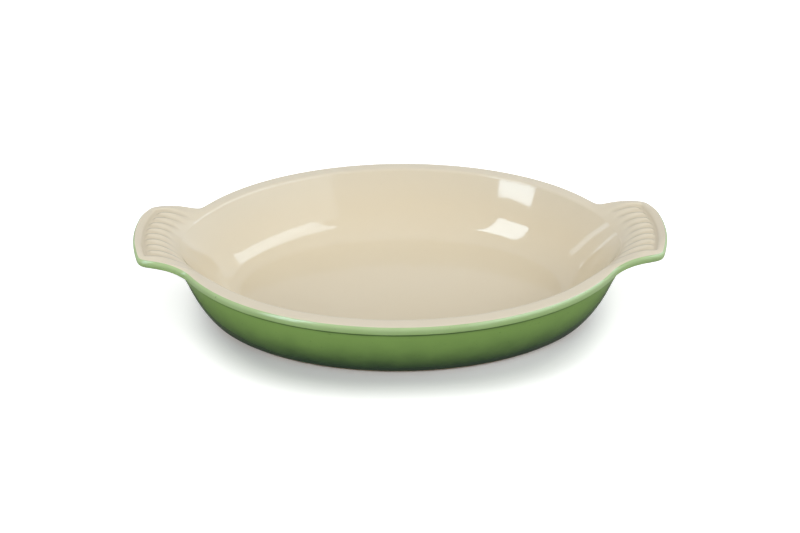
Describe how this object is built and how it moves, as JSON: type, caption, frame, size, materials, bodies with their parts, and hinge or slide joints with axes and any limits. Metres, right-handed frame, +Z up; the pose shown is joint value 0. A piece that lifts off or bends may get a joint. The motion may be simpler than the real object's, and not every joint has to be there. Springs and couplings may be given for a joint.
{
  "type": "oval baking dish",
  "caption": "Shallow oval stoneware baking dish with a banded rim and a fluted shell handle at each end, glazed cream inside and green outside.",
  "frame": {"origin": "on the table under the middle of the oval, level with the bare foot ring", "axes": "+X along the dish from handle to handle, +Y across it, +Z up out of the bowl"},
  "size_m": [0.28, 0.163, 0.046],
  "materials": {
    "stoneware": "bare fired clay, matt",
    "cream_glaze": "glossy cream glaze",
    "green_glaze": "glossy green glaze, paler on the rim band"
  },
  "bodies": {
    "root": {"stoneware_body": "stoneware", "cream_inner_glaze": "cream_glaze", "green_outer_glaze": "green_glaze", "underside_glaze": "green_glaze"}
  },
  "joints": []
}
